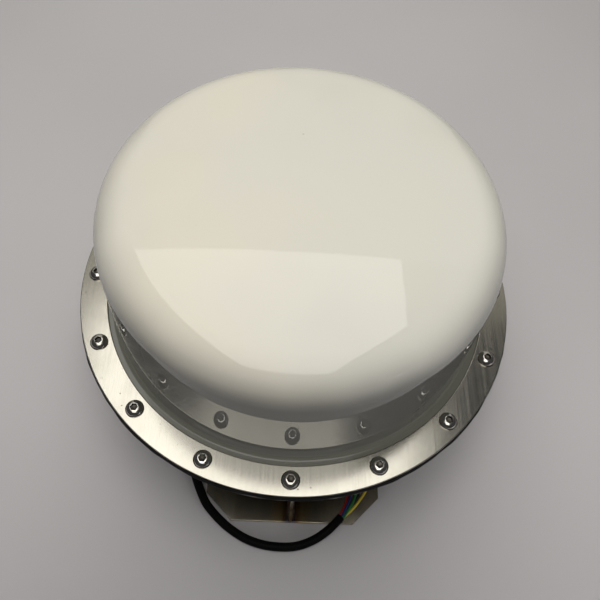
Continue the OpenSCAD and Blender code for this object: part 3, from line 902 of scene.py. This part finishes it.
def buttonScrew(look):
    head, high, flat = look["headRadius"], look["headHeight"], look["socketFlat"]
    soft, flatRim, floor = look["headSoft"], look["flatRim"], high * look["socketFloor"]
    loops = [polarLoop(disc(look["radius"] - look["tip"]), -look["long"])]
    z = -look["long"] + look["tip"]
    while z < -look["pitch"] / 2:          # turned grooves stand for the thread
        loops.append(polarLoop(disc(look["radius"]), z))
        loops.append(polarLoop(disc(look["radius"] - look["threadDeep"]), z + look["pitch"] / 2))
        z += look["pitch"]
    loops.append(polarLoop(disc(look["radius"]), -look["neck"]))
    loops.append(polarLoop(disc(look["radius"]), 0))
    loops.append(polarLoop(disc(head - soft), 0))
    loops.append(polarLoop(disc(head), soft))
    loops.append(polarLoop(disc(head), look["skirt"]))
    for r, z in bulge((head, look["domeFrom"]), (flatRim, high), look["bulge"], 9):
        loops.append(polarLoop(disc(r), z))
    hexWide, hexFlat = hexagon(flat + look["mouth"]), hexagon(flat)
    loops.append(polarLoop(lambda a: min(hexWide(a), flatRim - soft), high))
    loops.append(polarLoop(hexFlat, high - look["mouthDeep"]))
    loops.append(polarLoop(hexFlat, floor))
    loops.append(polarLoop(disc(flat * look["drill"]), floor - soft))
    loops.append(polarLoop(disc(look["drillTip"]), floor - look["drillDeep"]))
    return skin(loops)


nutLook = {"flats": 0.010, "high": 0.005, "washerHigh": 0.0016, "washerRadius": 0.006,
           "washerBore": 0.0032, "washerSoft": 0.0002,
           "bevel": [(0, 1.0), (0.0004, 1.08), (0.0009, 1.2)],      # height, reach past the flats
           "bevelFit": 0.985}


def hexNut(look):
    full, flats, high = hexagon(look["flats"]), look["flats"] / 2, look["high"]
    loops = []
    for z, r in look["bevel"] + [(high - z, r) for z, r in look["bevel"][::-1]]:
        loops.append(polarLoop(lambda a: min(full(a), flats * r * look["bevelFit"]), z))
    return skin(loops)


def makeScrews(look):
    rng = random.Random(7)
    turns = [rng.uniform(0, math.tau) for _ in range(look["count"])]
    screws = makePiece("ring_button_screws", *atScrews(buttonScrew(look), look, ringTop, turns),
                       finishes["screw_steel"], 32)
    # second material: painted shade for the sockets' recesses
    screws.data.materials.append(finishes["socket_painted_shade"].mat)
    low, reach = ringTop + look["headHeight"] - look["shadeFrom"], rimRadius - look["inset"]
    for face in screws.data.polygons:      # the faces down inside each socket take the painted shade
        x, y, z = face.center
        turn = math.atan2(y, x)
        spin = round(turn * look["count"] / math.tau) * math.tau / look["count"]
        off = math.hypot(x - reach * math.cos(spin), y - reach * math.sin(spin))
        if ringTop < z < low and off < look["socketFlat"] * look["shadeReach"]:
            face.material_index = 1
    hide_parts("ring_screws")
    under = baseUnder - nutLook["washerHigh"]
    washer = lathe(roundedBox(nutLook["washerBore"], nutLook["washerRadius"], 0,
                              nutLook["washerHigh"], nutLook["washerSoft"]), 48)
    washers = makePiece("rim_washers", *atScrews(washer, look, under), finishes["fixing_steel"])
    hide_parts("ring_washers")
    turns = [rng.uniform(0, math.tau) for _ in range(look["count"])]
    nuts = makePiece("rim_nuts", *atScrews(hexNut(nutLook), look, under - nutLook["high"], turns),
                     finishes["fixing_steel"], 25)
    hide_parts("ring_nuts")


makeScrews(screwLook)
print("screws, washers and nuts made")


# bracket: foot plate, web and weld beads

bracketShape = {
    "edge": 0.0003,
    "cut": 0.017,            # 45 degree cut at each corner of the foot
    "holeRadius": 0.0045,
    "holeAcross": 0.076,
    "holeAlong": 0.150,
    "webTop": 0.214,
    "webEdge": 0.0002,
}


def flatPlate(name, outline, holes, thick, edge, place, finish):
    data = bpy.data.curves.new(name, "CURVE")
    data.dimensions = "2D"
    data.fill_mode = "BOTH"
    data.extrude = thick / 2 - edge
    data.bevel_depth = edge
    data.bevel_resolution = 2
    data.offset = -edge
    rounds = [[(hx + r * math.cos(math.tau * k / 40), hy + r * math.sin(math.tau * k / 40))
               for k in range(40)] for hx, hy, r in holes]
    for loop in [outline] + rounds:
        spline = data.splines.new("POLY")
        spline.points.add(len(loop) - 1)
        spline.use_cyclic_u = True
        for point, (x, y) in zip(spline.points, loop):
            point.co = (x, y, 0, 1)
    draft = bpy.data.objects.new(name + "_draft", data)
    scene.collection.objects.link(draft)
    bpy.context.view_layer.update()
    mesh = bpy.data.meshes.new_from_object(draft.evaluated_get(bpy.context.evaluated_depsgraph_get()))
    points = [place @ v.co for v in mesh.vertices]
    faces = [tuple(p.vertices) for p in mesh.polygons]
    bpy.data.objects.remove(draft)
    return makePiece(name, points, faces, finish)


def makeBracket(look):
    low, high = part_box("foot_plate")
    c = look["cut"]
    outline = [(low.x + c, low.y), (high.x - c, low.y), (high.x, low.y + c), (high.x, high.y - c),
               (high.x - c, high.y), (low.x + c, high.y), (low.x, high.y - c), (low.x, low.y + c)]
    mid = (low.x + high.x) / 2
    holes = [(mid + sx * look["holeAcross"] / 2, sy * look["holeAlong"] / 2, look["holeRadius"])
             for sx in (-1, 1) for sy in (-1, 1)]
    foot = flatPlate("foot_plate_cut", outline, holes, high.z - low.z, look["edge"],
                     Matrix.Translation((0, 0, (low.z + high.z) / 2)), finishes["bracket_steel"])
    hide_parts("foot_plate")
    low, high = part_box("web_plate")
    half = look["webTop"] / 2
    outline = [(low.y, low.z), (high.y, low.z), (half, high.z), (-half, high.z)]
    upright = Matrix(((0, 0, 1, webMid), (1, 0, 0, 0), (0, 1, 0, 0), (0, 0, 0, 1)))
    web = flatPlate("web_plate_cut", outline, [], high.x - low.x, look["webEdge"],
                    upright, finishes["web_steel"])
    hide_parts("web_plate")
    makeWelds(weldLook, high.x - low.x)


def weldBead(look, side, half, corner, rise, long, rng):
    loops = []
    count = int(long / look["step"])
    phase = rng.uniform(0, 6)
    for k in range(count + 1):
        y = -long / 2 + long * k / count
        wave = math.sin(math.tau * y / look["ripplePitch"] + phase) * look["ripple"]
        grown = min(y + long / 2, long / 2 - y) / look["tipLong"]
        end = min(1, look["tipShare"] + (1 - look["tipShare"]) * grown)
        leg = (look["leg"] + wave) * end
        slant = look["slant"] * math.sin(y * 90 + phase)
        section = [(0, 0), (leg, 0), (leg * 0.93, leg * 0.20), (leg * 0.72, leg * 0.46),
                   (leg * 0.46, leg * 0.72), (leg * 0.20, leg * 0.93), (0, leg)]
        loops.append([(webMid + side * (half + u), y + slant * (u + v) / look["leg"], corner + rise * v)
                      for u, v in section])
    if side * rise < 0:
        loops = [loop[::-1] for loop in loops]
    return skin(loops)


def makeWelds(look, thick):
    rng = random.Random(11)
    for name, corner, rise in (("foot_weld", footTop, 1), ("head_weld", baseUnder, -1)):
        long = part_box(name)[1].y * 2
        parts = [weldBead(look, side, thick / 2, corner, rise, long, rng) for side in (-1, 1)]
        beads = makePiece(name + "_beads", *joined(parts), finishes["weld"], 60)
        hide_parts(name)


makeBracket(bracketShape)
print("bracket made")


# the other nodes keep their own shape and take a finish each

nodeFinishes = {
    "gland_body": "nylon_black", "gland_washer": "rubber_black", "gland_seal": "rubber_black",
    "gland_cap": "nylon_black", "gland_locknut": "nylon_black", "cable_entry": "jacket_black",
    "base_studs": "fixing_steel", "carrier_spacers": "fixing_steel", "carrier_plate": "carrier",
    "carrier_nuts": "fixing_steel", "led_board": "board", "board_screws": "screw_steel",
    "leds_red": "led_red", "leds_green": "led_green", "leds_blue": "led_blue",
    "leds_white": "led_white", "current_drivers": "chip", "terminal_block": "block",
    "terminal_screws": "fixing_steel", "block_nuts": "fixing_steel", "entry_leads": "lead",
    "board_leads": "lead",
}
for name, slotName in nodeFinishes.items():
    for place in nodes[name].material_slots:
        place.material = finishes[slotName].mat
print("inner nodes painted")


# floor, world and lights

floorLook = {
    "tone": (0.64, 0.62, 0.635),
    "deep": (0.615, 0.595, 0.61),
    "half": 3.0,
}


def makeFloor(look):
    f = Finish("floor_board", "floor", Base_Color=look["tone"], Roughness=0.75)
    cloud = f.noise(3, 3, 0.5)
    f.feed("Base Color", f.blend(f.steps(cloud, 0.35, 0.65), look["deep"], look["tone"]))
    f.feed("Roughness", f.steps(cloud, 0.3, 0.7, 0.7, 0.85))
    f.bump(f.noise(600, 2, 0.5), 0.2, 0.00005)
    h = look["half"]
    data = bpy.data.meshes.new("floor")
    data.from_pydata([(-h, -h, 0), (h, -h, 0), (h, h, 0), (-h, h, 0)], [], [(0, 1, 2, 3)])
    data.materials.append(f.mat)
    floor = bpy.data.objects.new("floor", data)
    scene.collection.objects.link(floor)


# plain panels of the studio: a soft key overhead, a dimmer ceiling behind it and a dark
# flag in front, which only keeps light off
panelLook = {
    "key": {"across": (-0.50, 0.33), "along": (-0.97, 0.625), "height": 1.19,
            "tone": (1.0, 0.985, 0.94), "radiance": 2.6},
    "ceiling": {"across": (-1.6, 1.4), "along": (0.63, 2.6), "height": 1.2,
                "tone": (1.0, 0.97, 0.88), "radiance": 0.48},
}
flagLook = {"across": (-0.21, 0.145), "along": (-0.66, -0.205), "height": 0.35,
            "tone": (0.03, 0.03, 0.03)}


def makeCard(name, look, f):
    (x0, x1), (y0, y1), h = look["across"], look["along"], look["height"]
    data = bpy.data.meshes.new(name)
    data.from_pydata([(x0, y0, h), (x1, y0, h), (x1, y1, h), (x0, y1, h)], [], [(0, 1, 2, 3)])
    data.materials.append(f.mat)
    card = bpy.data.objects.new(name, data)
    card.visible_camera = False
    scene.collection.objects.link(card)
    return card


def makePanel(name, look):
    f = Finish(name + "_glow", "stage", Base_Color=(0, 0, 0), Roughness=1.0,
               Emission_Strength=look["radiance"])
    haze = f.steps(f.noise(1.2, 2), 0.3, 0.7)
    f.feed("Emission Color", f.blend(haze, tuple(0.96 * c for c in look["tone"]), look["tone"]))
    makeCard(name, look, f)


def makeFlag(look):
    f = Finish("flag_cloth", "stage", Base_Color=look["tone"], Roughness=0.9)
    f.feed("Roughness", f.steps(f.noise(40, 2), 0.3, 0.7, 0.8, 1.0))
    makeCard("flag", look, f).visible_glossy = False


worldTone = (0.07, 0.07, 0.072)

# each light: centre, point it faces, width, depth, radiance, colour
lightLook = {
    "rightFill": ((1.05, -0.95, 0.55), (0.32, -0.42, 0), 0.5, 0.5, 4.5, (1.0, 0.985, 0.99)),
    "leftFill": ((-1.1, -0.95, 0.5), (-0.34, -0.42, 0), 0.5, 0.5, 2.8, (1.0, 0.985, 0.99)),
    "back": ((0, 2.75, 0.75), (0, 0, 0.1), 3.4, 1.2, 0.5, (1.0, 0.99, 0.98)),
    "sideGlint": ((1.1, -1.0, 0.16), (0, 0, 0.15), 0.62, 0.03, 5.0, (1.0, 0.99, 0.97)),
}


def makeLights(look):
    world = bpy.data.worlds.new("world")
    world.use_nodes = True
    world.node_tree.nodes["Background"].inputs[0].default_value = (*worldTone, 1)
    scene.world = world
    for name, (place, target, wide, deep, radiance, tone) in look.items():
        data = bpy.data.lights.new(name, "AREA")
        data.shape = "RECTANGLE"
        data.size = wide
        data.size_y = deep
        data.energy = radiance * math.pi * wide * deep
        data.color = tone
        lamp = bpy.data.objects.new(name, data)
        lamp.visible_glossy = not name.endswith("Fill")     # fills stay out of the reflections
        aim = (Vector(target) - Vector(place)).to_track_quat("-Z", "Y").to_matrix().to_4x4()
        lamp.matrix_world = Matrix.Translation(place) @ aim
        scene.collection.objects.link(lamp)


makeFloor(floorLook)
for name, look in panelLook.items():
    makePanel(name, look)
makeFlag(flagLook)
makeLights(lightLook)
scene.view_settings.view_transform = "Standard"
scene.view_settings.look = "None"
print("floor and lights ready")
